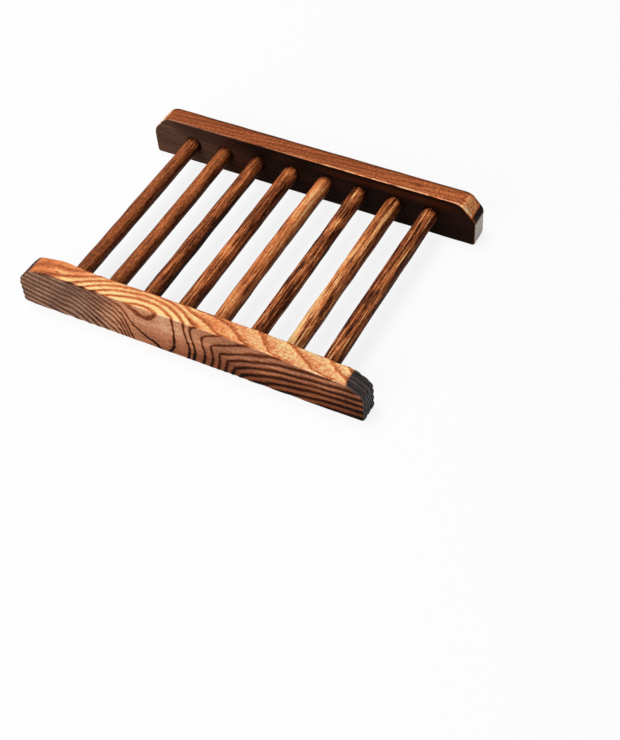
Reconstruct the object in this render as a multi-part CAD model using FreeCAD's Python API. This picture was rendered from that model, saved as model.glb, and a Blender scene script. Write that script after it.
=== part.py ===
"""Slatted wooden soap dish: two rails joined by a row of round dowels glued into blind bores.

Frame: the origin is the middle of the dish on the surface that it stands on, X runs along the
rails, Y from the front rail to the back rail and Z up. All sizes are millimetres.
"""

import FreeCAD
import Part
import math
import os

from FreeCAD import Vector

# The dish over all
dish_length = 115.0  # along the rails
dish_width = 84.0  # over the outer faces of the two rails

# Rails
rail_height = 15.0
rail_thickness = 6.5
shoulder_run = 4.9  # how far each sloping shoulder reaches in from the end of its rail
shoulder_drop = 5.7  # how far it reaches down from the top
shoulder_radius = 5.0  # rounding where it meets the top and the upright end
foot_radius = 1.0  # rounding of the two lower corners of each rail
edge_round = 0.3  # easing along the rim of the broad faces

# Dowels
dowel_count = 8
dowel_diameter = 4.8
dowel_end_margin = 15.0  # from the end of the rail to the axis of the first dowel
dowel_axis_height = 7.5  # above the surface that the dish stands on
dowel_lead_in = 0.4  # chamfer on the dowel's hidden ends

# Joints between dowels and rails
bore_depth = 4.5
bore_mouth_chamfer = 0.25
glue_gap = 0.05  # around the dowel, in the bore
bore_end_gap = 0.3  # between the dowel's end and the bottom of its bore

# Worked out from the sizes above
dowel_pitch = (dish_length - 2 * dowel_end_margin) / (dowel_count - 1)
inner_face = dish_width / 2 - rail_thickness  # distance of each rail's inner face from the middle
bore_radius = dowel_diameter / 2 + glue_gap
dowel_half_length = inner_face + bore_depth - bore_end_gap

ALONG_Y = Vector(0, 1, 0)
UP = Vector(0, 0, 1)
CENTRE = Vector(0, 0, 0)


def dowel_places():
    """X of each dowel's axis, evenly spaced between the two end margins."""
    first = dowel_end_margin - dish_length / 2
    return [first + number * dowel_pitch for number in range(dowel_count)]


def rounded_outline(corners):
    """Closed wire in the XZ plane through corners of (x, z, radius), each rounded by an arc of its radius."""
    points = [Vector(x, 0, z) for x, z, _ in corners]
    arcs = []
    for number, (_, _, radius) in enumerate(corners):
        point = points[number]
        arriving = (point - points[number - 1]).normalize()
        leaving = (points[(number + 1) % len(points)] - point).normalize()
        half_turn = arriving.getAngle(leaving) / 2
        reach = radius * math.tan(half_turn)
        cut_off = radius / math.cos(half_turn) - radius
        inwards = (leaving - arriving).normalize()
        arcs.append((point - arriving * reach, point + inwards * cut_off, point + leaving * reach))
    edges = []
    for number, (first, middle, last) in enumerate(arcs):
        edges.append(Part.LineSegment(arcs[number - 1][2], first).toShape())
        edges.append(Part.Arc(first, middle, last).toShape())
    return Part.Wire(edges)


def rail_outline():
    """Outline of a rail: flat base with rounded feet, upright ends, sloping shoulders and flat top."""
    half = dish_length / 2
    top_x = half - shoulder_run
    shoulder_z = rail_height - shoulder_drop
    return rounded_outline(
        [
            (-half, 0, foot_radius),
            (half, 0, foot_radius),
            (half, shoulder_z, shoulder_radius),
            (top_x, rail_height, shoulder_radius),
            (-top_x, rail_height, shoulder_radius),
            (-half, shoulder_z, shoulder_radius),
        ]
    )


def rail_blank():
    """A rail without its bores, with its outer face on the plane Y = 0 and its inner face towards +Y."""
    blank = Part.Face(rail_outline()).extrude(ALONG_Y * rail_thickness)
    rims = [edge for edge in blank.Edges if edge.BoundBox.YLength < edge_round / 2]
    return blank.makeFillet(edge_round, rims)


def bore(place_x):
    """The space of one blind bore with its chamfered mouth, cut in from the inner face of a rail."""
    floor = Vector(place_x, rail_thickness - bore_depth, dowel_axis_height)
    hole = Part.makeCylinder(bore_radius, bore_depth, floor, ALONG_Y)
    mouth_start = Vector(place_x, rail_thickness - bore_mouth_chamfer, dowel_axis_height)
    mouth = Part.makeCone(
        bore_radius,
        bore_radius + bore_mouth_chamfer,
        bore_mouth_chamfer,
        mouth_start,
        ALONG_Y,
    )
    return hole.fuse(mouth)


def rail():
    """A rail with a bore for each dowel, placed as the front rail."""
    bored = rail_blank().cut([bore(place_x) for place_x in dowel_places()])
    bored.translate(ALONG_Y * (-dish_width / 2))
    return bored


def back_rail():
    """The front rail turned half round, so that the bores face each other."""
    turned = rail()
    turned.rotate(CENTRE, UP, 180)
    return turned


def dowel(place_x):
    """One dowel across the dish, with a lead-in chamfer on each end, turned from its half section."""
    radius = dowel_diameter / 2
    end_radius = radius - dowel_lead_in
    section = Part.makePolygon(
        [
            Vector(0, -dowel_half_length, 0),
            Vector(end_radius, -dowel_half_length, 0),
            Vector(radius, -dowel_half_length + dowel_lead_in, 0),
            Vector(radius, dowel_half_length - dowel_lead_in, 0),
            Vector(end_radius, dowel_half_length, 0),
            Vector(0, dowel_half_length, 0),
            Vector(0, -dowel_half_length, 0),
        ]
    )
    turned = Part.Face(section).revolve(CENTRE, ALONG_Y, 360)
    turned.translate(Vector(place_x, 0, dowel_axis_height))
    return turned


def pieces():
    """Every piece of the dish by name."""
    made = {"front_rail": rail(), "back_rail": back_rail()}
    for number, place_x in enumerate(dowel_places(), start=1):
        made[f"dowel_{number}"] = dowel(place_x)
    return made


def main():
    os.makedirs("parts", exist_ok=True)
    for name, shape in pieces().items():
        solid = shape.Solids[0]
        solid.exportStep(f"parts/{name}.step")
        print(f"{name}: {len(shape.Solids)} solid, {solid.Volume:.1f} mm3, valid {solid.isValid()}")


main()
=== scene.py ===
"""Dresses a slatted wooden soap dish: two scorched, brushed rails joined by eight whittled dowels.

Shapes are worked out in millimetres in the frame of the solids: X along the rails, Y from the front
rail to the back one, Z up from the surface that the dish stands on.
"""

import math

import bpy
import numpy as np
from bpy.props import FloatProperty, FloatVectorProperty, PointerProperty
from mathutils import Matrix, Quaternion, Vector


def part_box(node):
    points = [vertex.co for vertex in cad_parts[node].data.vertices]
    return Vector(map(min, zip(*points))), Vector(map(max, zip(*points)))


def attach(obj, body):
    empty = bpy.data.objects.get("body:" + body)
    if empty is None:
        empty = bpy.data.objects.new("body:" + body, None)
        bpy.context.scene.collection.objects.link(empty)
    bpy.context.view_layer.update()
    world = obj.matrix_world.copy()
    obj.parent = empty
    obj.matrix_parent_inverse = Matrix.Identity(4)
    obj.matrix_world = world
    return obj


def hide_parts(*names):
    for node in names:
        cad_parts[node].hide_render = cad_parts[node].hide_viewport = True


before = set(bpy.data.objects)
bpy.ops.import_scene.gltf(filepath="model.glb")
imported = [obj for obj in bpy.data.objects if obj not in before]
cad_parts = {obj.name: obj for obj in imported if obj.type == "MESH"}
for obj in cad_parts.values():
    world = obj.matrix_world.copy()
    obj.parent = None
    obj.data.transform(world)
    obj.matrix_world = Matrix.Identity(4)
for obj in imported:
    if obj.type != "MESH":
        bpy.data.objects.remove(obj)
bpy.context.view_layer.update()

bl_info = {
    "name": "Slatted soap dish",
    "version": (1, 0, 0),
    "blender": (4, 5, 0),
    "location": "3D View > Sidebar > Soap dish",
    "description": "Builds the rails, the dowels and the studio of a scorched wooden soap dish",
    "category": "Add Mesh",
}

MM = 0.001


def box_mm(node):
    """Lowest and highest corner of a solid in millimetres, to the nearest micron."""
    return [np.round(np.array(corner) / MM, 3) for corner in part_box(node)]


FRONT_LOW, FRONT_HIGH = box_mm("front_rail")
RAIL_LENGTH, RAIL_THICKNESS, RAIL_HEIGHT = FRONT_HIGH - FRONT_LOW
DOWEL_NAMES = sorted(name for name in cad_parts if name.startswith("dowel_"))
DOWEL_BOXES = [box_mm(name) for name in DOWEL_NAMES]
DOWEL_MIDDLES = [(low + high) / 2 for low, high in DOWEL_BOXES]
DOWEL_LENGTH = DOWEL_BOXES[0][1][1] - DOWEL_BOXES[0][0][1]
DOWEL_DIAMETER = DOWEL_BOXES[0][1][0] - DOWEL_BOXES[0][0][0]
INNER_FACE = -FRONT_HIGH[1]

# How finely the surfaces are divided
RUN_STEPS = 330
SHOULDER_STEPS = 30
FACE_STEPS = 64
EDGE_STEPS = 18
RIM_STEPS = 4
ARC_STEPS = 24
DOWEL_STEPS = 220
DOWEL_SIDES = 72
# Bores: half width of the square window around each in radii, rings of points from the window to the mouth,
# rings down the wall, and rings on the floor as shares of the radius
BORE_WINDOW = 1.45
BORE_BLEND_RINGS = 5
BORE_WALL_RINGS = 6
BORE_FLOOR_RINGS = (0.6, 0.25)

# Growth rings in the left of the front rail: places along its upper and lower edge with their ring numbers
UPPER_EDGE_RINGS = (
    (-57.5, -5.5), (-50, -4.85), (-45, -4.6), (-40, -4.25), (-36, -3.6), (-32, -2.5), (-27, -1.2),
    (-24, -0.6), (-19, -0.05), (-16.5, 0.27), (-13.5, 0.42), (-10.5, 0.27), (-8, -0.05), (-5.5, -0.5),
    (-2.9, -1), (0.8, -2),
)
LOWER_EDGE_RINGS = (
    (-57.5, -12.6), (-50, -12), (-45, -11.4), (-40, -10.4), (-36, -9.5), (-33, -8.7), (-30, -7.8),
    (-27, -6.9), (-23.5, -6), (-21.8, -5), (-20.6, -4), (-19.5, -3), (-18.3, -2), (-8.5, -1),
    (-6.8, -0.85), (-6, -1), (0.3, -2),
)
# Where these rings climb late or early from the lower edge: from, to, and the fade beyond
LATE_CLIMB = (-38, -22, 6)
EARLY_CLIMB = (-6, 1, 4)
# Where the upright lines to the right take over, their ring numbers by place, and their sway by height
HILL_END = (-3.5, 0.5)
UPRIGHT_RINGS = (
    (-3.2, -1), (1.9, -2), (3.6, -3), (6.9, -4), (9.6, -5), (11.9, -6), (14.2, -7), (60, -27),
)
UPRIGHT_SWAY = ((0, -1.2), (3, -0.45), (6, 0), (9, -0.75), (12, -1.1), (15, -1))
# The slanting lines: one ring and its height by place along the rail, the height from one ring to the next by
# place, and the share of rings above that one, where they lie wider apart
SLANTING_RING = -6
SLANTING_HEIGHT = ((0, 2.6), (13, 8), (22.4, 11.7), (30, 14.2), (37.5, 15.1), (45, 15.6), (57.5, 16.4))
SLANTING_SPACING = ((30, 2.8), (45, 2.5))
SLANTING_SHARE = 0.76
# How the ring number changes behind the outer face, by place along the rail: per millimetre of depth, per
# square millimetre, and at once behind the right part of the rim
RINGS_PER_DEPTH = (
    (-57.5, -0.3), (-46, -0.36), (-36, -0.38), (-25, -0.37), (-14, -0.37), (2, -0.3), (9, -0.19),
    (17, -0.11), (46, -0.12), (57.5, -0.5),
)
RINGS_QUICKENING = ((-57.5, 0.02), (-44, 0.01), (-30, -0.015), (-14, -0.026), (0, -0.02), (10, 0))
RIM_STEP = -0.3
RIM_STEP_START = (4, 12)
# Lengths over which the corners of these lines are rounded, with what two gain behind the face, and the
# rounding of the fold from upright to slanting lines in rings
UPPER_ROUNDING = 2.6
UPPER_ROUNDING_GAIN = 4
LOWER_ROUNDING = 1.6
UPRIGHT_ROUNDING = 1.2
UPRIGHT_ROUNDING_GAIN = 6
SWAY_ROUNDING = 3
SLANTING_ROUNDING = 6
DEPTH_ROUNDING = 10
FOLD_ROUNDING = 0.5
# Growth rings of the back rail: place of the pith line in y and z, its tilt along the rail and the ring width
PITH_PLACE = (66, -18)
PITH_TILT = (0.035, -0.045)
BACK_RING_WIDTH = 1.15


def shade(red, green, blue):
    """Linear colour of a display colour given in 0 to 255."""
    values = np.array([red, green, blue]) / 255
    linear = np.where(values <= 0.04045, values / 12.92, ((values + 0.055) / 1.055) ** 2.4)
    return tuple(float(value) for value in linear)


def length(name, description, millimetres):
    """A setting for a length, with its default in millimetres."""
    return FloatProperty(
        name=name, description=description, default=millimetres * MM, unit="LENGTH", precision=5
    )


def colour(name, description, display):
    """A setting for a colour, with its default as a display colour."""
    return FloatVectorProperty(
        name=name, description=description, default=shade(*display), subtype="COLOR", size=3, min=0, max=1
    )


def power(name, description, watts):
    """A setting for the power of a light."""
    return FloatProperty(name=name, description=description, default=watts, unit="POWER")


class RailSettings(bpy.types.PropertyGroup):
    shoulder_run: length("Shoulder run", "How far the sloping shoulders reach in from the ends", 4.9)
    shoulder_drop: length("Shoulder drop", "How far the sloping shoulders reach down from the top", 5.7)
    shoulder_radius: length("Shoulder radius", "Rounding where a shoulder meets the top and the end", 5.0)
    foot: length("Foot", "Radius of the lower corners", 1.0)
    rim: length("Rim", "Radius of the eased long edges", 0.3)
    bore_radius: length("Bore radius", "Radius of the blind bores that take the dowels", 2.45)
    bore_depth: length("Bore depth", "Depth of the blind bores", 4.5)
    bore_mouth: length("Bore mouth", "Chamfer at the mouth of each bore", 0.25)
    face_relief: length("Face relief", "How deep brushing cuts the soft wood on the faces", 0.13)
    end_relief: length("End relief", "How deep brushing cuts the soft wood on the end grain", 0.3)
    crown: length("Crown", "How far the top of the front rail stands above its nominal height", 0.3)
    droop: length("Droop", "How far hand sanding took down the right end of the front rail's top", 2.1)
    swell: length("Swell", "How far the front rail's top swells inwards near its left end", 0.8)
    soot: colour("Soot", "Wood burnt black", (14, 6, 4))
    umber: colour("Umber", "Wood toasted dark brown", (72, 32, 14))
    russet: colour("Russet", "Wood toasted red-brown", (154, 80, 43))
    orange: colour("Orange", "Sanded wood", (241, 140, 83))
    honey: colour("Honey", "Brightest sanded soft wood", (255, 222, 150))
    cinder: colour("Cinder", "Ashen wood at its darkest", (15, 11, 12))
    smoke: colour("Smoke", "Dark ashen wood", (78, 53, 41))
    ash: colour("Ash", "Ashen wood", (140, 103, 84))
    fawn: colour("Fawn", "Pale ashen wood", (208, 164, 134))
    cream: colour("Cream", "Ashen wood at its palest", (252, 236, 220))


class DowelSettings(bpy.types.PropertyGroup):
    fibre_relief: length("Fibre relief", "Height of the lengthwise fibres", 0.07)
    bend: length("Bend", "How far a dowel may wander from its straight axis", 0.3)
    soot: colour("Soot", "Wood burnt black", (20, 7, 3))
    umber: colour("Umber", "Wood scorched dark brown", (78, 36, 18))
    russet: colour("Russet", "Wood toasted red-brown", (160, 87, 47))
    amber: colour("Amber", "Lightly toasted wood", (231, 133, 74))
    straw: colour("Straw", "Fibres scraped pale", (255, 208, 140))


class StageSettings(bpy.types.PropertyGroup):
    floor: colour("Floor", "Colour of the plain floor as the camera sees it", (252, 252, 252))
    floor_bounce: colour("Floor bounce", "Colour of the floor where it lights the dish", (150, 150, 150))
    key_power: power("Key light", "Power of the upper softbox", 10.2)
    fill_power: power("Fill light", "Power of the front softbox", 8.0)
    sky: FloatProperty(name="Sky", description="Brightness of the surrounding white", default=0.12, min=0)


# Arithmetic on arrays


def smoothstep(low, high, value):
    """0 below low, 1 above high, and a smooth cubic between."""
    share = np.clip((value - low) / (high - low), 0, 1)
    return share * share * (3 - 2 * share)


def within(low, high, soft, value):
    """1 between low and high, fading to 0 over a soft stretch outside them."""
    return smoothstep(low - soft, low, value) * (1 - smoothstep(high, high + soft, value))


def wander(points, wavelength, seed, count=7):
    """Smooth noise of about unit size: sines of random directions and phases, as long as wavelength says."""
    draw = np.random.default_rng(seed)
    waves = draw.normal(size=(count, 3)) / np.asarray(wavelength)
    phases = draw.uniform(0, 2 * math.pi, count)
    return np.sin(2 * math.pi * points @ waves.T + phases).sum(-1) * math.sqrt(2 / count) / 1.4


def along(places, x, rounding):
    """The line through (x, value) places with its corners rounded: its mean over a short stretch of x."""
    xs, values = np.transpose(places)
    shifts = np.linspace(-0.5, 0.5, 9)
    return np.mean([np.interp(x + shift * rounding, xs, values) for shift in shifts], axis=0)


# Surfaces


class Shell:
    """Gathers grids of points into one closed surface and welds the points that they share."""

    def __init__(self):
        self.points = []
        self.quads = []
        self.triangles = []
        self.count = 0

    def add_points(self, points):
        first = self.count
        self.points.append(points.reshape(-1, 3))
        self.count += len(self.points[-1])
        return np.arange(first, self.count).reshape(points.shape[:-1])

    def grid(self, points, wrap=False, flip=False, keep=None):
        """Adds rows of points. Its faces look along column direction x row direction, or away with flip."""
        index = self.add_points(points)
        if wrap:
            index = np.concatenate([index, index[:, :1]], axis=1)
        quads = np.stack([index[:-1, :-1], index[:-1, 1:], index[1:, 1:], index[1:, :-1]], axis=-1)
        quads = quads.reshape(-1, 4) if keep is None else quads[keep]
        self.quads.append(quads[:, ::-1] if flip else quads)

    def fan(self, ring, flip=False):
        """Closes a ring of points with triangles to its middle."""
        index = self.add_points(np.vstack([ring, ring.mean(0)]))
        rim = index[:-1]
        middle = np.full(len(rim), index[-1])
        triangles = np.stack([rim, np.roll(rim, -1), middle], axis=-1)
        self.triangles.append(triangles[:, ::-1] if flip else triangles)

    def welded(self):
        """Points, quads and triangles with points in the same place made one."""
        points = np.concatenate(self.points)
        _, first, inverse = np.unique(np.round(points, 4), axis=0, return_index=True, return_inverse=True)
        inverse = inverse.reshape(-1)
        triangles = np.concatenate(self.triangles) if self.triangles else np.zeros((0, 3), int)
        return points[first], inverse[np.concatenate(self.quads)], inverse[triangles]


def outward(points, quads):
    """Unit normal at each point: the sum of the crossed diagonals of its faces."""
    corners = points[quads]
    facing = np.cross(corners[:, 2] - corners[:, 0], corners[:, 3] - corners[:, 1])
    total = np.zeros_like(points)
    for corner in range(4):
        np.add.at(total, quads[:, corner], facing)
    return total / np.maximum(np.linalg.norm(total, axis=1, keepdims=True), 1e-12)


def make_piece(name, shape, attributes, material, node):
    """Puts a welded shape in millimetres into an object that stands for its solid."""
    points, quads, triangles = shape
    mesh = bpy.data.meshes.new(name)
    mesh.from_pydata((points * MM).tolist(), [], quads.tolist() + triangles.tolist())
    for key, values in attributes.items():
        layer = mesh.attributes.new(key, "FLOAT", "POINT")
        layer.data.foreach_set("value", np.broadcast_to(values, len(points)).astype(np.float32))
    mesh.shade_smooth()
    mesh.materials.append(material)
    piece = bpy.data.objects.new(name, mesh)
    bpy.context.scene.collection.objects.link(piece)
    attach(piece, "root")
    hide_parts(node)


# Rails


def rounded_path(corners, radius, count):
    """Even points along a line through corners in x and z, and the heading of the line at each.

    Each inner corner is rounded by an arc of the radius that meets both of its runs.
    """
    corners = np.array(corners, float)
    runs = np.diff(corners, axis=0)
    bearings = np.arctan2(runs[:, 1], runs[:, 0])
    points, headings = [corners[:1]], [bearings[:1]]
    for corner, arriving, leaving in zip(corners[1:-1], bearings[:-1], bearings[1:]):
        heading = np.linspace(arriving, leaving, ARC_STEPS + 1)
        side = math.copysign(1.0, leaving - arriving)
        reach = radius * math.tan(abs(leaving - arriving) / 2)
        start = corner - reach * np.array([math.cos(arriving), math.sin(arriving)])
        swing_x = np.sin(heading) - math.sin(arriving)
        swing_z = math.cos(arriving) - np.cos(heading)
        points.append(start + side * radius * np.stack([swing_x, swing_z], axis=-1))
        headings.append(heading)
    points = np.concatenate([*points, corners[-1:]])
    headings = np.concatenate([*headings, bearings[-1:]])
    travel = np.concatenate([[0.0], np.cumsum(np.linalg.norm(np.diff(points, axis=0), axis=1))])
    even = np.linspace(0, travel[-1], count + 1)
    spaced = np.stack([np.interp(even, travel, points[:, axis]) for axis in range(2)], axis=-1)
    return spaced, np.interp(even, travel, headings)


def edge_curve(corners, radius, up):
    """One long edge of a rail from its left end to its right, as points and outward normals in x and z.

    Corners give its left end, which is rounded and then mirrored for the right one, with a straight run
    between them.
    """
    end, heading = rounded_path(corners, radius, SHOULDER_STEPS)
    end_normal = up * np.stack([-np.sin(heading), np.cos(heading)], axis=-1)
    run_x = np.linspace(end[-1, 0], -end[-1, 0], RUN_STEPS + 1)[1:-1]
    run = np.stack([run_x, np.full_like(run_x, end[-1, 1])], axis=-1)
    run_normal = np.tile([0.0, up], (len(run), 1))
    mirror = np.array([-1.0, 1.0])
    points = np.concatenate([end, run, end[::-1] * mirror])
    normals = np.concatenate([end_normal, run_normal, end_normal[::-1] * mirror])
    return points, normals


def with_depth(flat, depth):
    """Points in x and z set at a depth behind the outer face."""
    depth = np.broadcast_to(depth, flat.shape[:-1])
    return np.stack([flat[..., 0], depth, flat[..., 1]], axis=-1)


def bore_rings(window, centre, rail):
    """A blind bore in the inner face: rings of points from a square window in to the floor of the bore.

    Each ring keeps the bearings of the window's points: some rings blend the square into the mouth circle,
    then the chamfer, the wall and the floor follow.
    """
    offset = window - centre
    bearing = np.arctan2(offset[:, 1], offset[:, 0])
    unit = np.stack([np.cos(bearing), np.sin(bearing)], axis=-1)
    radius, mouth = rail.bore_radius / MM, (rail.bore_radius + rail.bore_mouth) / MM
    floor = RAIL_THICKNESS - rail.bore_depth / MM
    shares = np.linspace(0, 1, BORE_BLEND_RINGS)
    blends = [window + share * (centre + mouth * unit - window) for share in shares]
    rings = [with_depth(blend, RAIL_THICKNESS) for blend in blends]
    for depth in np.linspace(RAIL_THICKNESS - rail.bore_mouth / MM, floor, BORE_WALL_RINGS):
        rings.append(with_depth(centre + radius * unit, depth))
    for share in BORE_FLOOR_RINGS:
        rings.append(with_depth(centre + share * radius * unit, floor))
    return np.stack(rings)


def rail_shape(rail):
    """A rail in x, depth and z: depth runs from its outer face to the inner face with the bores.

    A profile is carried round the outline: it eases over one rim, crosses the edge and eases over the
    other. Each broad face is ruled between the upper and the lower edge, and the inner one has the bores.
    """
    half, rim, foot = RAIL_LENGTH / 2, rail.rim / MM, rail.foot / MM
    run, drop, radius = rail.shoulder_run / MM, rail.shoulder_drop / MM, rail.shoulder_radius / MM
    slope = math.atan2(drop, run)
    end_z = RAIL_HEIGHT - drop - radius * math.tan((math.pi / 2 - slope) / 2)
    top_x = run - half + radius * math.tan(slope / 2)
    shoulder = [(-half, end_z), (-half, RAIL_HEIGHT - drop), (run - half, RAIL_HEIGHT), (top_x, RAIL_HEIGHT)]
    upper, upper_normal = edge_curve(shoulder, radius, 1.0)
    lower, lower_normal = edge_curve([(-half, foot), (-half, 0.0), (top_x, 0.0)], foot, -1.0)
    share = np.linspace(0, 1, FACE_STEPS + 1)[:, None]
    right = upper[-1] + share * (lower[-1] - upper[-1])
    left = (right * [-1.0, 1.0])[::-1]
    right_normal = np.tile([1.0, 0.0], (len(right), 1))
    outline = np.concatenate([upper[:-1], right[:-1], lower[:0:-1], left[:-1]])
    normal = np.concatenate([upper_normal[:-1], right_normal[:-1], lower_normal[:0:-1], -right_normal[:-1]])

    turn = np.linspace(0, math.pi / 2, RIM_STEPS + 1)
    rim_inset, rim_depth = rim * (1 - np.sin(turn)), rim * (1 - np.cos(turn))
    flat_depth = np.linspace(rim, RAIL_THICKNESS - rim, EDGE_STEPS + 1)[1:-1]
    inset = np.concatenate([rim_inset, np.zeros_like(flat_depth), rim_inset[::-1]])[:, None, None]
    depth = np.concatenate([rim_depth, flat_depth, RAIL_THICKNESS - rim_depth[::-1]])[:, None]
    shell = Shell()
    shell.grid(with_depth(outline - inset * normal, depth), wrap=True)

    top, low = upper - rim * upper_normal, lower - rim * lower_normal
    face = top + share[..., None] * (low - top)
    shell.grid(with_depth(face, 0.0), flip=True)
    keep = np.ones((face.shape[0] - 1, face.shape[1] - 1), bool)
    half_window = BORE_WINDOW * rail.bore_radius / MM
    for middle in DOWEL_MIDDLES:
        centre = middle[[0, 2]]
        columns = np.flatnonzero(np.abs(face[0, :, 0] - centre[0]) < half_window)
        rows = np.flatnonzero(np.abs(face[:, len(upper) // 2, 1] - centre[1]) < half_window)
        keep[rows[0]:rows[-1], columns[0]:columns[-1]] = False
        window = np.concatenate([
            face[rows[-1], columns[:-1]], face[rows[:0:-1], columns[-1]],
            face[rows[0], columns[:0:-1]], face[rows[:-1], columns[0]],
        ])
        rings = bore_rings(window, centre, rail)
        shell.grid(rings, wrap=True, flip=True)
        shell.fan(rings[-1])
    shell.grid(with_depth(face, RAIL_THICKNESS), keep=keep)
    return shell.welded()


def front_rings(points):
    """Ring number in the front rail: a hill, then upright lines that fold over into slanting ones.

    The hill climbs from its lower-edge value to its upper-edge value, late or early by place. The fold is the
    greater of the upright and the slanting rings, with its corner rounded. The number falls behind the outer
    face, where the lines also run smoother.
    """
    x, y, z = points.T
    depth = y - FRONT_LOW[1]
    deep = smoothstep(0, 2, depth)
    upper = along(UPPER_EDGE_RINGS, x, UPPER_ROUNDING + UPPER_ROUNDING_GAIN * deep)
    lower = along(LOWER_EDGE_RINGS, x, LOWER_ROUNDING)
    high = np.clip(z / RAIL_HEIGHT, 0, 1)
    late = high ** (1 + 0.3 * within(*LATE_CLIMB, x))
    early = 1 - (1 - high) ** 4
    hill = lower + (upper - lower) * (late + (early - late) * within(*EARLY_CLIMB, x))
    straightened = x - along(UPRIGHT_SWAY, z, SWAY_ROUNDING)
    upright = along(UPRIGHT_RINGS, straightened, UPRIGHT_ROUNDING + UPRIGHT_ROUNDING_GAIN * deep)
    above = z - along(SLANTING_HEIGHT, x, SLANTING_ROUNDING)
    above = above / along(SLANTING_SPACING, x, SLANTING_ROUNDING)
    slanting = SLANTING_RING + np.minimum(above, SLANTING_SHARE * above)
    fold = (upright + slanting + np.hypot(upright - slanting, FOLD_ROUNDING)) / 2
    rings = hill + (fold - hill) * smoothstep(*HILL_END, x)
    rings = rings + along(RINGS_PER_DEPTH, x, DEPTH_ROUNDING) * depth
    rings = rings + along(RINGS_QUICKENING, x, DEPTH_ROUNDING) * depth ** 2
    rings = rings + RIM_STEP * smoothstep(0, 1, depth) * smoothstep(*RIM_STEP_START, x)
    return rings + 0.05 * wander(points, (18, 9, 9), seed=11) + 0.015 * wander(points, (5, 2, 2), seed=12)


def back_rings(points):
    """Ring number in the back rail: distance from a pith line behind and below it that tilts along it."""
    x, y, z = points.T
    across = y - PITH_PLACE[0] - PITH_TILT[0] * x
    high = z - PITH_PLACE[1] - PITH_TILT[1] * x
    rings = np.hypot(across, high) / BACK_RING_WIDTH
    return rings + 0.12 * wander(points, (40, 8, 8), seed=21) + 0.05 * wander(points, (9, 2, 2), seed=22)


def ring_slope(field, points, normals):
    """Rings per millimetre along the surface, from small steps of the field in x, y and z."""
    step = 0.05
    rises = [field(points + step * axis) - field(points - step * axis) for axis in np.eye(3)]
    slope = np.stack(rises, axis=-1) / (2 * step)
    slope -= (slope * normals).sum(-1, keepdims=True) * normals
    return np.linalg.norm(slope, axis=-1)


def ring_line(rings, width):
    """1 on a ring line and 0 away from it; width is the line's half width in rings."""
    apart = np.abs(rings - np.round(rings))
    return 1 - smoothstep(0.3 * width, width, apart)


def facing_shares(normals):
    """Shares by which a surface faces left, right, front, back, down and up. They add up to 1."""
    sides = [(axis, sign) for axis in range(3) for sign in (-1, 1)]
    return [np.where(sign * normals[:, axis] > 0, normals[:, axis] ** 2, 0.0) for axis, sign in sides]


def rim_share(normals):
    """1 in the middle of an eased rim and 0 on the flat wood beside it."""
    flat = np.maximum(np.abs(normals[:, 1]), np.hypot(normals[:, 0], normals[:, 2]))
    return (1 - flat) / (1 - math.sqrt(0.5))


def apart_from(place, reach, points):
    """Distance from a place in x and y, in terms of a reach along x and y."""
    return np.hypot((points[:, 0] - place[0]) / reach[0], (points[:, 1] - place[1]) / reach[1])


# A small dent in the front rail's top
NICK_PLACE = (-44.0, -39.3)
NICK_REACH = (0.9, 0.3)
NICK_DEPTH = 0.25
# Stretches along the front rail: from, to, and the fade beyond
FIGURED_FACE = (-22, 0, 14)
SMOKY_FACE = (-38, -24, 8)
FAINT_LINES = (-27, -18, 3)
SHADED_FACE = (-20, 14, 4)
ARCHED_TOP = (-40, 0, 10)
DULLER_TOP = (-4, 22, 4)
DARK_RIM = (-46, -29, 4)
# The eye of the figure: its place along the rail and its half length
EYE_PLACE = -13.5
EYE_REACH = 6
# Where along the rail its right part, worn rim and burnt end set in, and where its singed end stops
RIGHT_PART = (4, 24)
WORN_RIM = (32, 46)
BURNT_END = (51.6, 52.3)
SINGED_END = (-53.2, -52.2)


def nick(points):
    """1 in the middle of the small dent in the front rail's top, fading to 0 at its edge."""
    dent = 1 - smoothstep(0.4, 1.2, apart_from(NICK_PLACE, NICK_REACH, points))
    return dent * (points[:, 2] > RAIL_HEIGHT / 2)


def front_face(points):
    """Light, drop, tone and line of the front rail's outer face: ashen left, partly a painted sheen, pale
    middle, brown low right under painted shade.
    """
    x, _, z = points.T
    figured = within(*FIGURED_FACE, x)
    smoky = within(*SMOKY_FACE, x) * smoothstep(7, 12, z)
    # A painted shade that darkens the lower right of the face and makes it less ashen, deepest at the bottom.
    low = (1 - smoothstep(0, 11, z)) * smoothstep(-26, 12, x)
    eye = np.exp(-(((x - EYE_PLACE) / EYE_REACH) ** 2)) * smoothstep(9, 12, z)
    light = 0.60 + (0.06 + 0.11 * smoothstep(4, 11, z)) * figured - 0.20 * low - 0.12 * smoky
    light = light - 0.12 * smoothstep(48, 56, x) - 0.025 * within(*SHADED_FACE, x)
    drop = 0.26 + 0.26 * figured + 0.11 * smoothstep(*RIGHT_PART, x) - 0.12 * smoky - 0.14 * eye
    drop = drop * (1.1 - 0.02 * z) * (1 - 0.35 * within(*FAINT_LINES, x))
    # Ashen to the left: partly ashen wood and partly a painted sheen.
    tone = 0.95 - 0.45 * smoothstep(-38, -16, x) - 0.3 * low
    line = 1.3 - 0.6 * smoothstep(-34, -24, x) + 0.35 * smoothstep(10, 26, x) + 0.9 * eye
    return light, drop, tone, line * (1 + 0.22 * wander(points, (20, 3, 3), seed=36))


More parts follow.
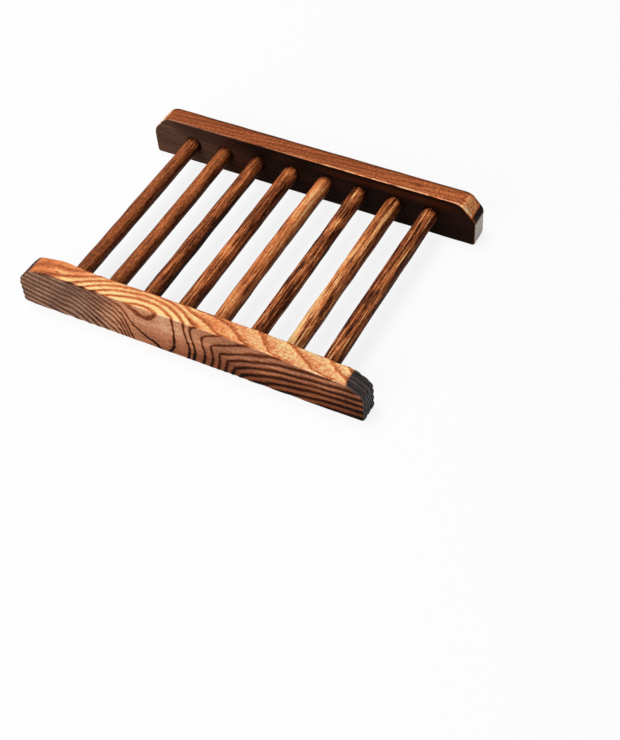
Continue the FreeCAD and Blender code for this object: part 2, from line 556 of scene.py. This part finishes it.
def front_top(points):
    """Light, drop and band of the front rail's sanded top: bright arches, then orange to the right."""
    x, y, _ = points.T
    arches = within(*ARCHED_TOP, x) * (1 - 0.7 * smoothstep(-41, -37.5, y))
    light = 0.59 + 0.13 * smoothstep(-40, -26, x) + 0.08 * smoothstep(-6, 40, x) - 0.45 * nick(points)
    light = light - 0.03 * within(*DULLER_TOP, x)
    drop = 0.02 + 0.08 * smoothstep(-44, -28, x) + 0.05 * smoothstep(-2, 8, x)
    band = 0.10 - 0.03 * smoothstep(-44, -34, x) + 0.31 * arches
    return light, drop, band


def front_finish(points, normals):
    """Toasting and painted light of the front rail: sanded orange on top, ashen to brown outside, burnt at
    its right end.

    Light is the lightness of the soft wood, drop how much darker the ring lines are, band how much lighter
    the middle between two lines is, tone how ashen the wood is, line the half width of the ring lines in
    millimetres, skew how much of it lies before the line, fleck how flecked it is and gloss the wax on it.
    """
    x, y, z = points.T
    left, right, front, back, down, up = facing_shares(normals)
    face_light, face_drop, face_tone, face_line = front_face(points)
    top_light, top_drop, top_band = front_top(points)
    outer_rim = (1 - smoothstep(0.1, 0.6, y - FRONT_LOW[1])) * smoothstep(0.2, 0.6, normals[:, 2])
    paler_rim = smoothstep(*WORN_RIM, x)
    rim_light = 0.16 * paler_rim * smoothstep(-0.2, 0.8, wander(points, (2.5, 9, 9), seed=34))
    rim_light = rim_light - 0.5 * within(*DARK_RIM, x)
    singed = (1 - smoothstep(*SINGED_END, x)) * (1 - front) * smoothstep(6, 9, z)
    burnt = smoothstep(*BURNT_END, x + 0.15 * wander(points, (4, 4, 4), seed=31)) * (1 - front)
    glaze = np.clip(0.4 + 0.7 * wander(points, (40, 0.7, 40), seed=37), 0, 1)

    light = face_light * front + top_light * up + 0.30 * back + 0.35 * down + 0.45 * left + 0.10 * right
    light = light + rim_light * outer_rim
    light = light + (0.22 - light) * singed
    light = light + (0.01 + 0.08 * glaze - light) * burnt + 0.03 * wander(points, (14, 5, 5), seed=32)
    drop = face_drop * front + top_drop * up + 0.15 * (back + down + left) + 0.04 * right
    tone = face_tone * front + 0.3 * (back + left) + 0.08 * smoothstep(*RIGHT_PART, x) * up
    tone = tone + 0.8 * singed + burnt + 0.5 * outer_rim * paler_rim
    return {
        "light": np.clip(light, 0, 1),
        "drop": drop * (1 - 0.8 * burnt),
        "band": (top_band * up + 0.03) * (1 - burnt),
        "tone": np.clip(tone, 0, 1),
        "line": face_line * front + 0.8 * (1 - front),
        "skew": 0.75 * up * smoothstep(-2, 8, x),
        "fleck": 1.3 + 0.9 * up * smoothstep(5, 20, x),
        "gloss": 0.12 * up * (1 - burnt) + glaze * burnt,
    }


# Stretches along the back rail, and one of heights: from, to, and the fade beyond
# A painted highlight on the left shoulder of the top:
PAINTED_SHOULDER_HIGHLIGHT = (-55.6, -53.6, 0.9)
BRIGHT_PATCH = (53.0, 55.6, 0.7)
# A painted shade under the top rim of the inner face:
PAINTED_RIM_SHADE = (-46, -16, 6)
GLOW_INSIDE = (8, 46, 8)
GLOW_HEIGHTS = (11.8, 13.4, 0.8)
# A small scorch mark on its top
SCORCH_PLACE = (37, 38.5)
SCORCH_REACH = (1.3, 0.5)


def back_top(points):
    """Light of the back rail's top: a paler patch on the right shoulder and a painted highlight on the left
    one, darker at the outer rim and the right end.
    """
    x, y, _ = points.T
    light = 0.49 + 0.06 * smoothstep(10, 45, x) - 0.2 * smoothstep(40.4, 41.8, y)
    light = light + 0.24 * within(*BRIGHT_PATCH, x) - 0.55 * smoothstep(55.9, 56.5, x)
    # A painted highlight on the left shoulder.
    light = light + 0.45 * within(*PAINTED_SHOULDER_HIGHLIGHT, x)
    return light - 0.22 * np.exp(-(apart_from(SCORCH_PLACE, SCORCH_REACH, points) ** 2))


def back_inside(points):
    """Light of the back rail's inner face: brown at its left end, nearly black to the right as char and
    painted shade.
    """
    x, _, z = points.T
    glow = within(*GLOW_INSIDE, x) * within(*GLOW_HEIGHTS, z)
    # Nearly black to the right, as charred wood with painted shade.
    light = 0.27 - 0.26 * smoothstep(-40, -8, x) + 0.10 * glow
    # A painted shade under the top rim.
    return light - 0.10 * smoothstep(9, 12.5, z) * within(*PAINTED_RIM_SHADE, x)


def back_finish(points, normals):
    """Toasting and painted light of the back rail: red-brown top, nearly black between the dowels, paler
    inner rim.

    It gives what the front rail's toasting gives. The shoulders are toasted as the top is.
    """
    x, y, z = points.T
    left, right, front, back, down, up = facing_shares(normals)
    shoulder = smoothstep(8, 9.5, z)
    up = up + shoulder * (left + right)
    left = left * (1 - shoulder)
    right = right * (1 - shoulder)
    # The inner rim: paler from wear, with a painted highlight on it as well.
    rubbed_and_highlit_rim = (1 - smoothstep(0.25, 0.75, y - INNER_FACE)) * (z > 9)
    paler_rim = rubbed_and_highlit_rim * (0.10 + 0.26 * smoothstep(-15, 12, x))
    paler_rim = paler_rim * smoothstep(-2.4, 0.6, wander(points, (9, 9, 9), seed=35))

    light = back_inside(points) * front + (back_top(points) + paler_rim) * up
    # The right end face is painted at the palest ash as a painted sheen; it also gets the full wax coat.
    light = light + 0.34 * back + 0.3 * down + 0.78 * left + right
    # A painted highlight on the upward curve of the rim.
    light = light + paler_rim * rim_share(normals) * (normals[:, 2] > 0.3)
    # Ashen at the inner face's left end, partly ashen wood and partly a painted sheen, and palest on the
    # right end for its painted sheen.
    tone = 0.9 * (1 - smoothstep(-40, -14, x)) * front + 0.35 * left + right
    # Paler in tone at the left shoulder's painted highlight and along the inner rim, from wear and its
    # painted highlight.
    tone = tone + (0.6 * within(*PAINTED_SHOULDER_HIGHLIGHT, x) + 0.45 * rubbed_and_highlit_rim) * up
    return {
        "light": np.clip(light + 0.02 * wander(points, (20, 5, 5), seed=33), 0, 1),
        "drop": 0.08 * up + 0.04 * back,
        "band": 0.03,
        "tone": np.clip(tone, 0, 1),
        "line": 0.35,
        "skew": 0.0,
        "fleck": 0.4 + 1.5 * up,
        "gloss": 0.06 * up + 0.05 * back + right,
    }


# Hand sanding of the front rail's top: where its right end droops and its left end falls by a share of the
# crown, the height from which it is lifted, and the place, half length, heights and depth of the swell
DROOP_START = (18, 52)
LEFT_FALL_END = (-53, -43)
LEFT_FALL = 1.5
LIFT_START = 9.5
SWELL_PLACE = -44
SWELL_REACH = 6
SWELL_HEIGHTS = (10.5, 14)
SWELL_DEPTH = 2.0
# Brushing: the smoother middle of the front rail with the share it lacks, the share of the back rail, and the
# narrowest and the widest half width of a ring line in rings
SMOOTHER_MIDDLE = (-24, 6, 10)
SMOOTHING = 0.7
BACK_BRUSHING = 0.25
LINE_WIDTHS = (0.08, 0.48)
# How much fuller the back rail's right shoulder is, and where along the rail and in height this sets in
FULL_SHOULDER = 0.5
FULL_SHOULDER_START = (50, 54)
FULL_SHOULDER_HEIGHTS = (7.5, 10)
# Painted shade round the bores on the inner face: how much darker it makes the wood, and the distances
# from their axes between which this fades
BORE_SHADE = 0.6
BORE_SHADE_REACH = (2.5, 3.4)


def sand_top(points, depth, rail):
    """The front rail with its sanded top: lifted by the crown, lower at both ends, swollen near the left one.

    The lift grows up the rail. The swell is a bell along the rail that grows with the depth behind the face.
    """
    x, y, z = points.T
    lift = rail.crown - rail.droop * smoothstep(*DROOP_START, x)
    lift = lift - LEFT_FALL * rail.crown * (1 - smoothstep(*LEFT_FALL_END, x))
    z = z + lift / MM * smoothstep(LIFT_START, RAIL_HEIGHT, z)
    swell = np.exp(-(((x - SWELL_PLACE) / SWELL_REACH) ** 2)) * smoothstep(*SWELL_HEIGHTS, z)
    y = y + rail.swell / MM * swell * smoothstep(SWELL_DEPTH, RAIL_THICKNESS, depth)
    return np.stack([x, y, z], axis=-1)


def brushed_depth(points, normals, lines, brushing, rail):
    """How far brushing lowers the wood: half the cut between ring lines, while the lines stand as far proud.

    The cut is deeper on the end grain.
    """
    end = smoothstep(0.5, 0.95, np.abs(normals[:, 0]))
    cut = (rail.face_relief + (rail.end_relief - rail.face_relief) * end) * brushing
    return (0.5 - lines) * cut / MM + 0.015 * wander(points, (18, 9, 9), seed=41)


def build_rail(name, rail, turned, rings_of, finish_of, material):
    """Shapes one rail, brushes its soft wood back from the ring lines and stores what its finish reads.

    The back rail is the front one turned half round: its right shoulder is fuller, and it has neither the
    sanded top nor the dent. The bores stay plain, and nothing sinks below the dish's standing surface.
    """
    local, quads, triangles = rail_shape(rail)
    depth = local[:, 1]
    points = local + [0.0, FRONT_LOW[1], 0.0]
    points = points * [-1.0, -1.0, 1.0] if turned else sand_top(points, depth, rail)
    x, _, z = points.T
    normals = outward(points, quads)
    finish = finish_of(points, normals)
    rings = rings_of(points)
    width = np.clip(finish["line"] * ring_slope(rings_of, points, normals), *LINE_WIDTHS)
    brushing = BACK_BRUSHING if turned else 1 - SMOOTHING * within(*SMOOTHER_MIDDLE, x)
    lowered = brushed_depth(points, normals, ring_line(rings, width), brushing, rail)
    if turned:
        fuller = smoothstep(*FULL_SHOULDER_START, x) * smoothstep(*FULL_SHOULDER_HEIGHTS, z)
        lowered = lowered - FULL_SHOULDER * fuller
    else:
        lowered = lowered + NICK_DEPTH * nick(points)
    reach = np.min([np.hypot(local[:, 0] - m[0], local[:, 2] - m[2]) for m in DOWEL_MIDDLES], axis=0)
    in_bore = np.abs(depth - RAIL_THICKNESS / 2) < RAIL_THICKNESS / 2 - 1e-3
    in_bore &= reach < (rail.bore_radius + rail.bore_mouth) / MM
    points = points - np.where(in_bore, 0, lowered)[:, None] * normals
    points[:, 2] = np.maximum(points[:, 2], 0)
    # Painted shade round the bores on the inner face.
    shaded = (1 - smoothstep(*BORE_SHADE_REACH, reach)) * (depth > RAIL_THICKNESS / 2)
    finish["light"] = finish["light"] * (1 - BORE_SHADE * shaded)
    finish["line"] = width
    attributes = {"rings": rings, **finish}
    make_piece(name + "_wood", (points, quads, triangles), attributes, material, name)


# Dowels

# Each dowel from left to right: girth, lightness, contrast of its fibres, number of whittled facets
DOWEL_CHARACTERS = (
    (1.04, 0.47, 0.50, 9), (1.04, 0.46, 0.55, 8), (1.02, 0.43, 0.90, 7), (1.06, 0.47, 1.10, 6),
    (1.05, 0.66, 0.95, 7), (1.04, 0.42, 1.80, 6), (1.12, 0.61, 1.60, 6), (1.10, 0.43, 1.60, 7),
)
# Knots: dowel, place along it, and how much it swells or draws in there as a share of its radius, with the
# half length of a knot
DOWEL_KNOTS = ((4, -6.0, 0.025), (5, -17.0, 0.03), (6, 12.0, -0.05), (7, 2.0, 0.02))
KNOT_REACH = 2.2
# Patches on the dowels: dowel, place along it, half length, bearing from the right over the top and its half
# width in degrees, and how much lighter or darker the patch is
DOWEL_PATCHES = (
    (2, 5, 26, 75, 26, 0.13),
    # The third dowel's long dark patch on its right flank, at bearing 0, is painted shade.
    (3, 0, 34, 80, 24, 0.08), (3, 0, 38, 0, 45, -0.16),
    (4, 34, 4, 70, 80, 0.13), (4, 17, 12, 60, 45, -0.16), (4, -6, 3, 75, 60, 0.22),
    (4, -22, 12, 60, 20, 0.10),
    (5, 22, 9, 80, 60, 0.14), (5, -17, 3, 70, 70, -0.12),
    (6, 18, 3, 70, 35, 0.26), (6, 33, 4, 65, 40, 0.16), (6, 5, 4, 30, 12, 0.32),
    (6, -12, 8, 65, 20, 0.12), (6, 9, 5, 80, 70, -0.12),
    (7, -12, 27, 125, 18, 0.34), (7, 12, 6, 80, 18, 0.22), (7, -24, 10, 105, 30, 0.2),
    (7, 26, 9, 60, 50, -0.1),
    (8, 9, 7, 65, 22, 0.2), (8, -26, 3, 75, 40, 0.18), (8, 30, 6, 5, 12, 0.3),
)
# Whittling: share of the polygon in the section, turn of the facets in radians and its run, slow swelling as
# a share of the radius and its run, length over which it sets in, tenon chamfer, and the bow's upward share
FACET_SHARE = 0.35
FACET_TURN = 0.3
FACET_TURN_RUN = 17
SLOW_SWELL = 0.018
SLOW_SWELL_RUN = 22
WHITTLING_START = 0.8
TENON_CHAMFER = 0.4
LIFT_SHARE = 0.6
# Painted shade on the dowels: bearing of their lightest side, how much darker the flanks and the joints
# are, and how far from the rails the shade at the joints reaches
PAINTED_LIGHT_BEARING = 75
PAINTED_FLANK_SHADE = 0.2
JOINT_SHADE = 0.2
JOINT_SHADE_REACH = (0.2, 2.2)


def dowel_radius(number, dowel, y, angle):
    """Radius of a whittled dowel at places along it and angles round it, without its tenons.

    A circle blended with a polygon that turns slowly, which swells and thins along the dowel and rises on
    the fibres and knots.
    """
    girth, _, _, facets = DOWEL_CHARACTERS[number]
    radius = DOWEL_DIAMETER / 2
    sector = 2 * math.pi / facets
    turn = FACET_TURN * np.sin(y / FACET_TURN_RUN + number)
    polygon = np.cos(sector / 2) / np.cos((angle + turn) % sector - sector / 2)
    flats = FACET_SHARE * (polygon - polygon.mean())
    circle = np.stack(np.broadcast_arrays(radius * np.cos(angle), y, radius * np.sin(angle)), axis=-1)
    swell = SLOW_SWELL * wander(circle * [0, 1, 0], (1, SLOW_SWELL_RUN, 1), seed=51 + number)
    for knotted, place, share in DOWEL_KNOTS:
        if knotted == number + 1:
            swell = swell + share * np.exp(-(((y - place) / KNOT_REACH) ** 2))
    fibre = wander(circle, (0.9, 30, 0.9), seed=61 + number)
    fibre = fibre + 0.6 * wander(circle, (0.45, 16, 0.45), seed=71 + number)
    return radius * (girth * (1 + flats + swell)) + dowel.fibre_relief / MM * 0.5 * fibre


def dowel_shape(number, dowel):
    """A whittled dowel along Y: rings of its radius carried along an axis that bows to one side.

    Within the bores it returns to the plain round tenon with a chamfered end.
    """
    middle = DOWEL_MIDDLES[number]
    half = DOWEL_LENGTH / 2
    radius = DOWEL_DIAMETER / 2
    y = np.linspace(-half, half, DOWEL_STEPS + 1)[:, None]
    angle = np.linspace(0, 2 * math.pi, DOWEL_SIDES, endpoint=False)[None, :]
    free = smoothstep(0, WHITTLING_START, INNER_FACE - np.abs(y))
    chamfer = np.clip(TENON_CHAMFER - (half - np.abs(y)), 0, TENON_CHAMFER)
    ring = radius + free * (dowel_radius(number, dowel, y, angle) - radius) - chamfer
    bow = free * dowel.bend / MM * np.cos(y / INNER_FACE * math.pi / 2)
    draw = np.random.default_rng(81 + number)
    sway, lift = draw.uniform(-1, 1, 2)
    x = middle[0] + sway * bow + ring * np.cos(angle)
    z = middle[2] + LIFT_SHARE * lift * bow + ring * np.sin(angle)
    points = np.stack(np.broadcast_arrays(x, y, z), axis=-1)
    shell = Shell()
    shell.grid(points, wrap=True, flip=True)
    shell.fan(points[0])
    shell.fan(points[-1], flip=True)
    return shell.welded()


def dowel_finish(number, points):
    """Lightness of a dowel: its own, with painted shade down its flanks and at the joints, and its patches.
    """
    _, light, contrast, _ = DOWEL_CHARACTERS[number]
    offset = points - DOWEL_MIDDLES[number]
    bearing = np.degrees(np.arctan2(offset[:, 2], offset[:, 0]))
    # Painted shade down the flanks, away from the lighter crest.
    light = light - PAINTED_FLANK_SHADE * (1 - np.cos(np.radians(bearing - PAINTED_LIGHT_BEARING)))
    for patched, place, reach, patch_bearing, spread, gain in DOWEL_PATCHES:
        if patched == number + 1:
            apart = (bearing - patch_bearing + 180) % 360 - 180
            ends = (points[:, 1] - place) / reach
            light = light + gain * np.exp(-((apart / spread) ** 2)) * np.exp(-(ends ** 4))
    from_rail = INNER_FACE - np.abs(points[:, 1])
    # Painted shade at the joints with the rails.
    light = light - JOINT_SHADE * (1 - smoothstep(*JOINT_SHADE_REACH, from_rail))
    return {"light": np.clip(light, 0, 1), "contrast": contrast}


# Materials


class Wire:
    """A shader socket in an expression: each operation adds a Math node to its tree."""

    def __init__(self, graph, socket):
        self.graph = graph
        self.socket = socket

    def math(self, operation, *values):
        return self.graph.node("ShaderNodeMath", {"operation": operation}, [self, *values])

    def __add__(self, other):
        return self.math("ADD", other)

    def __mul__(self, other):
        return self.math("MULTIPLY", other)

    def __sub__(self, other):
        return self.math("SUBTRACT", other)

    def __rsub__(self, other):
        return self.graph.node("ShaderNodeMath", {"operation": "SUBTRACT"}, [other, self])

    def __truediv__(self, other):
        return self.math("DIVIDE", other)

    __radd__ = __add__
    __rmul__ = __mul__


class Graph:
    """The node tree of one material or world."""

    def __init__(self, owner):
        owner.use_nodes = True
        self.tree = owner.node_tree
        self.tree.nodes.clear()

    def node(self, kind, settings=None, inputs=(), output=0):
        """Adds a node from its type, its settings, which are set first, and its inputs by name or place."""
        node = self.tree.nodes.new(kind)
        for key, value in (settings or {}).items():
            if key == "stops":
                set_stops(node.color_ramp, value)
            else:
                setattr(node, key, value)
        for key, value in inputs.items() if isinstance(inputs, dict) else enumerate(inputs):
            if isinstance(value, Wire):
                self.tree.links.new(value.socket, node.inputs[key])
            else:
                node.inputs[key].default_value = value
        return Wire(self, node.outputs[output]) if node.outputs else node

    def attribute(self, name):
        return self.node("ShaderNodeAttribute", {"attribute_name": name}, output="Fac")

    def place(self, scale, shift=(0, 0, 0)):
        """Object coordinates in millimetres times scale."""
        where = self.node("ShaderNodeTexCoord", output="Object")
        per_metre = tuple(value / MM for value in scale)
        return self.node("ShaderNodeMapping", None, {"Vector": where, "Scale": per_metre, "Location": shift})

    def noise(self, where, detail=2.0, roughness=0.5):
        """Noise about zero, within a half either way."""
        return self.node("ShaderNodeTexNoise", {"normalize": True}, {
            "Vector": where, "Scale": 1.0, "Detail": detail, "Roughness": roughness}) - 0.5

    def fade(self, value, low, high):
        """0 below low, 1 above high, and smooth between."""
        smooth = {"interpolation_type": "SMOOTHSTEP"}
        return self.node("ShaderNodeMapRange", smooth, [value, low, high, 0.0, 1.0])

    def ramp(self, value, colours):
        """Colours from dark to pale at even steps of a value from 0 to 1."""
        places = np.linspace(0, 1, len(colours)).tolist()
        stops = [(place, (*shown, 1.0)) for place, shown in zip(places, colours)]
        return self.node("ShaderNodeValToRGB", {"stops": stops}, [value])

    def mix(self, share, first, second):
        return self.node("ShaderNodeMix", {"data_type": "RGBA"}, {0: share, 6: first, 7: second}, output=2)

    def finish(self, inputs):
        surface = self.node("ShaderNodeBsdfPrincipled", None, inputs)
        self.node("ShaderNodeOutputMaterial", None, {"Surface": surface})


def set_stops(ramp, stops):
    """Gives a colour ramp its stops, each a place from 0 to 1 and a colour."""
    while len(ramp.elements) < len(stops):
        ramp.elements.new(0.5)
    for element, (place, shown) in zip(ramp.elements, stops):
        element.position = place
        element.color = shown


def rail_material(rail):
    """Scorched, brushed and waxed softwood: ring lines, bright bands, fibres and flecks over its toasting."""
    material = bpy.data.materials.new("scorched_rail")
    graph = Graph(material)
    rings, line, light, drop = (graph.attribute(key) for key in ("rings", "line", "light", "drop"))
    band, tone, gloss = (graph.attribute(key) for key in ("band", "tone", "gloss"))
    skew, flecked = graph.attribute("skew"), graph.attribute("fleck")
    fibre = graph.noise(graph.place((0.11, 2.3, 2.3), (0, 0, 3)), 3.0, 0.6)
    fleck = graph.noise(graph.place((1.1, 1.6, 1.6), (5, 0, 0)), 4.0, 0.75)
    patch = graph.noise(graph.place((0.06, 0.2, 0.2), (0, 7, 0)), 2.0, 0.5)

    after = (rings + fibre * line * 0.3).math("FRACT")
    apart = (after / (1 - skew)).math("MINIMUM", (1 - after) / (1 + skew))
    late = 1 - graph.fade(apart, line * 0.15, line)
    between = graph.fade(apart, 0.05, 0.45)
    grain = (fibre * (0.9 - flecked * 0.35) + fleck * flecked * 0.75) * (light * 0.9 + 0.08)
    value = light + between * band - late * drop + grain + patch * 0.12 * light
    warm = graph.ramp(value, [rail.soot, rail.umber, rail.russet, rail.orange, rail.honey])
    ashen = graph.ramp(value, [rail.cinder, rail.smoke, rail.ash, rail.fawn, rail.cream])
    wood = graph.mix(tone - late * (1 - tone) * 0.9, warm, ashen)

    height = late * 0.4 + fibre * 0.7 + fleck * 0.4
    normal = graph.node("ShaderNodeBump", None, {"Strength": 0.6, "Distance": 0.00018, "Height": height})
    graph.finish({
        "Base Color": wood, "Roughness": 0.62 + fleck * 0.3, "Normal": normal, "Coat Weight": gloss,
        "Coat Roughness": 0.32, "Specular IOR Level": 0.03,
    })
    return material


def dowel_material(dowel):
    """Scorched fibrous dowel: lengthwise fibres, threads and mottling over its toasting, with a satin wax."""
    material = bpy.data.materials.new("scorched_dowel")
    graph = Graph(material)
    light, contrast = graph.attribute("light"), graph.attribute("contrast")
    fibre = graph.noise(graph.place((1.4, 0.06, 1.4)), 3.0, 0.6)
    thread = graph.noise(graph.place((2.8, 0.12, 2.8), (3, 0, 0)), 2.0, 0.6)
    strand = graph.noise(graph.place((1.5, 0.07, 1.5), (0, 5, 8)), 3.0, 0.6)
    mottle = graph.noise(graph.place((0.5, 0.12, 0.5), (0, 9, 0)), 2.0, 0.5)
    fleck = graph.noise(graph.place((1.9, 0.7, 1.9), (0, 0, 4)), 3.0, 0.75)

    streak = graph.fade(strand, 0.06, 0.12) - graph.fade(strand, -0.06, -0.12)
    value = light + (fibre * 0.8 + thread * 0.8 + streak * 0.2) * contrast + mottle * 0.2 + fleck * 0.8
    wood = graph.ramp(value, [dowel.soot, dowel.umber, dowel.russet, dowel.amber, dowel.straw])
    height = fibre * 0.7 + thread * 0.5 + fleck * 0.2
    normal = graph.node("ShaderNodeBump", None, {"Strength": 0.6, "Distance": 0.0002, "Height": height})
    wax = graph.fade(value, 0.2, 0.8) * 0.15
    graph.finish({
        "Base Color": wood, "Roughness": 0.55 + fleck * 0.3, "Normal": normal, "Coat Weight": wax,
        "Coat Roughness": 0.28, "Specular IOR Level": 0.05,
    })
    return material


# Stage

# The camera: picture size and focal length in pixels, places in millimetres
PHOTO_SIZE = (620, 740)
FOCAL_PIXELS = 1379.55
CAMERA_PLACE = (171.589, -255.801, 295.43)
CAMERA_TARGET = (38.35, -36.747, 7.5)
CAMERA_ROLL = math.radians(-5.035)
CAMERA_CLIP = 10.0
# The floor: half its width in metres, the share that glows, and the distances over which this grows to all
FLOOR_HALF = 2.0
FLOOR_GLOW = 0.86
FLOOR_FADE = (0.15, 0.6)
# The softboxes: places and widths in metres
KEY_PLACE = (-0.40, 0.05, 1.18)
KEY_WIDTH = 0.6
FILL_PLACE = (-0.25, -1.00, 0.45)
FILL_WIDTH = 0.8


def seen_white(graph):
    """1 for rays that should meet plain white: those from the camera, mirrors and glass."""
    kinds = ("Is Camera Ray", "Is Glossy Ray", "Is Transmission Ray")
    camera, glossy, transmitted = (graph.node("ShaderNodeLightPath", output=kind) for kind in kinds)
    return camera.math("MAXIMUM", glossy).math("MAXIMUM", transmitted)


def make_floor(stage):
    """A wide plain floor that shows white with the dish's soft shadow and fades into the surround."""
    half = FLOOR_HALF
    corners = [(-half, -half, 0), (half, -half, 0), (half, half, 0), (-half, half, 0)]
    mesh = bpy.data.meshes.new("floor")
    mesh.from_pydata(corners, [], [(0, 1, 2, 3)])
    material = bpy.data.materials.new("plain_floor")
    graph = Graph(material)
    matt = graph.node("ShaderNodeBsdfDiffuse", None, {"Color": (*stage.floor, 1.0)})
    glow = graph.node("ShaderNodeEmission", None, {"Color": (1, 1, 1, 1), "Strength": 1.0})
    where = graph.node("ShaderNodeTexCoord", output="Object")
    away = graph.node("ShaderNodeVectorMath", {"operation": "LENGTH"}, [where], output="Value")
    glow_share = graph.fade(away, *FLOOR_FADE) * (1 - FLOOR_GLOW) + FLOOR_GLOW
    shown = graph.node("ShaderNodeMixShader", None, [glow_share, matt, glow])
    bounce = graph.node("ShaderNodeBsdfDiffuse", None, {"Color": (*stage.floor_bounce, 1.0)})
    surface = graph.node("ShaderNodeMixShader", None, [seen_white(graph), bounce, shown])
    graph.node("ShaderNodeOutputMaterial", None, {"Surface": surface})
    mesh.materials.append(material)
    floor = bpy.data.objects.new("floor", mesh)
    bpy.context.scene.collection.objects.link(floor)


def make_softbox(name, place, width, power):
    """A square area light that looks at the middle of the dish."""
    lamp = bpy.data.lights.new(name, "AREA")
    lamp.shape = "SQUARE"
    lamp.size = width
    lamp.energy = power
    box = bpy.data.objects.new(name, lamp)
    box.location = place
    box.rotation_euler = (-Vector(place)).to_track_quat("-Z", "Y").to_euler()
    bpy.context.scene.collection.objects.link(box)


def make_world(stage):
    """An even white surround, at full white only for the camera and reflections."""
    world = bpy.data.worlds.new("studio")
    bpy.context.scene.world = world
    graph = Graph(world)
    strength = seen_white(graph) * (1 - stage.sky) + stage.sky
    surround = graph.node("ShaderNodeBackground", None, {"Color": (1, 1, 1, 1), "Strength": strength})
    graph.node("ShaderNodeOutputWorld", None, {"Surface": surround})


def make_camera():
    """A camera at the viewing angle of the reference picture."""
    data = bpy.data.cameras.new("camera")
    data.lens = FOCAL_PIXELS * data.sensor_width / max(PHOTO_SIZE)
    camera = bpy.data.objects.new("camera", data)
    eye, target = Vector(CAMERA_PLACE) * MM, Vector(CAMERA_TARGET) * MM
    level = (target - eye).to_track_quat("-Z", "Y")
    camera.location = eye
    camera.rotation_mode = "QUATERNION"
    camera.rotation_quaternion = level @ Quaternion((0, 0, 1), CAMERA_ROLL)
    data.clip_start = CAMERA_CLIP * MM
    bpy.context.scene.collection.objects.link(camera)
    bpy.context.scene.camera = camera


# Operators and panel


class SOAPDISH_OT_front_rail(bpy.types.Operator):
    """Builds the front rail"""

    bl_idname = "soap_dish.front_rail"
    bl_label = "Front rail"

    def execute(self, context):
        rail = context.scene.soap_dish_rail
        build_rail("front_rail", rail, False, front_rings, front_finish, rail_material(rail))
        return {"FINISHED"}


class SOAPDISH_OT_back_rail(bpy.types.Operator):
    """Builds the back rail"""

    bl_idname = "soap_dish.back_rail"
    bl_label = "Back rail"

    def execute(self, context):
        rail = context.scene.soap_dish_rail
        build_rail("back_rail", rail, True, back_rings, back_finish, rail_material(rail))
        return {"FINISHED"}


class SOAPDISH_OT_dowels(bpy.types.Operator):
    """Builds the eight dowels between the rails"""

    bl_idname = "soap_dish.dowels"
    bl_label = "Dowels"

    def execute(self, context):
        dowel = context.scene.soap_dish_dowel
        material = dowel_material(dowel)
        for number, name in enumerate(DOWEL_NAMES):
            shape = dowel_shape(number, dowel)
            make_piece(name + "_wood", shape, dowel_finish(number, shape[0]), material, name)
        return {"FINISHED"}


class SOAPDISH_OT_stage(bpy.types.Operator):
    """Builds the floor, the lights and the camera"""

    bl_idname = "soap_dish.stage"
    bl_label = "Studio"

    def execute(self, context):
        stage = context.scene.soap_dish_stage
        context.scene.view_settings.view_transform = "Standard"
        make_floor(stage)
        make_softbox("key_softbox", KEY_PLACE, KEY_WIDTH, stage.key_power)
        make_softbox("fill_softbox", FILL_PLACE, FILL_WIDTH, stage.fill_power)
        make_world(stage)
        make_camera()
        return {"FINISHED"}


class SOAPDISH_PT_panel(bpy.types.Panel):
    """Lists the settings and the builders of the soap dish"""

    bl_label = "Soap dish"
    bl_idname = "SOAPDISH_PT_panel"
    bl_space_type = "VIEW_3D"
    bl_region_type = "UI"
    bl_category = "Soap dish"

    def draw(self, context):
        scene = context.scene
        for settings in (scene.soap_dish_rail, scene.soap_dish_dowel, scene.soap_dish_stage):
            box = self.layout.box()
            for key in settings.__annotations__:
                box.prop(settings, key)
        for operator in OPERATORS:
            self.layout.operator(operator.bl_idname)


OPERATORS = (SOAPDISH_OT_front_rail, SOAPDISH_OT_back_rail, SOAPDISH_OT_dowels, SOAPDISH_OT_stage)
CLASSES = (RailSettings, DowelSettings, StageSettings, *OPERATORS, SOAPDISH_PT_panel)


def register():
    for entry in CLASSES:
        bpy.utils.register_class(entry)
    bpy.types.Scene.soap_dish_rail = PointerProperty(type=RailSettings)
    bpy.types.Scene.soap_dish_dowel = PointerProperty(type=DowelSettings)
    bpy.types.Scene.soap_dish_stage = PointerProperty(type=StageSettings)


def unregister():
    for key in ("soap_dish_rail", "soap_dish_dowel", "soap_dish_stage"):
        delattr(bpy.types.Scene, key)
    for entry in reversed(CLASSES):
        bpy.utils.unregister_class(entry)


def main():
    """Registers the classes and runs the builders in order."""
    register()
    bpy.ops.soap_dish.front_rail()
    bpy.ops.soap_dish.back_rail()
    bpy.ops.soap_dish.dowels()
    bpy.ops.soap_dish.stage()


if __name__ == "__main__":
    main()
